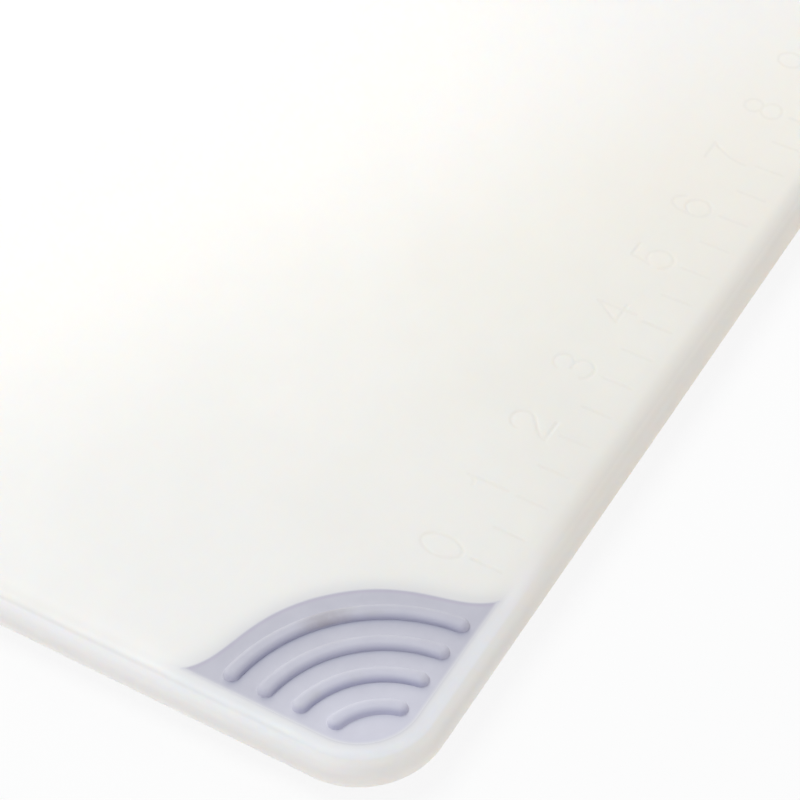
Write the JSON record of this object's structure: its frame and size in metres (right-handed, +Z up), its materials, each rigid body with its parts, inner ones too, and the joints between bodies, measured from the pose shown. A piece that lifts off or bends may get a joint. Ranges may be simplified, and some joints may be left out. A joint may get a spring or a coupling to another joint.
{
  "type": "plastic cutting board",
  "caption": "White plastic cutting board with rounded edges, a sunk inch ruler along one side, and a soft ribbed anti-slip grip moulded into each corner of both faces.",
  "frame": {"origin": "under the middle of the board, on the surface that the lower ribs stand on", "axes": "+X along the board's length and the ruler's numbers, +Y along its width from the ruler's side, +Z up"},
  "size_m": [0.4572, 0.3048, 0.0159],
  "materials": {
    "board_plastic": "fine satin, slightly translucent",
    "soft_grip": "matt soft rubber"
  },
  "bodies": {
    "root": {"board": "board_plastic", "corner_grip_front_left": "soft_grip", "corner_grip_front_right": "soft_grip", "corner_grip_back_right": "soft_grip", "corner_grip_back_left": "soft_grip"}
  },
  "joints": []
}
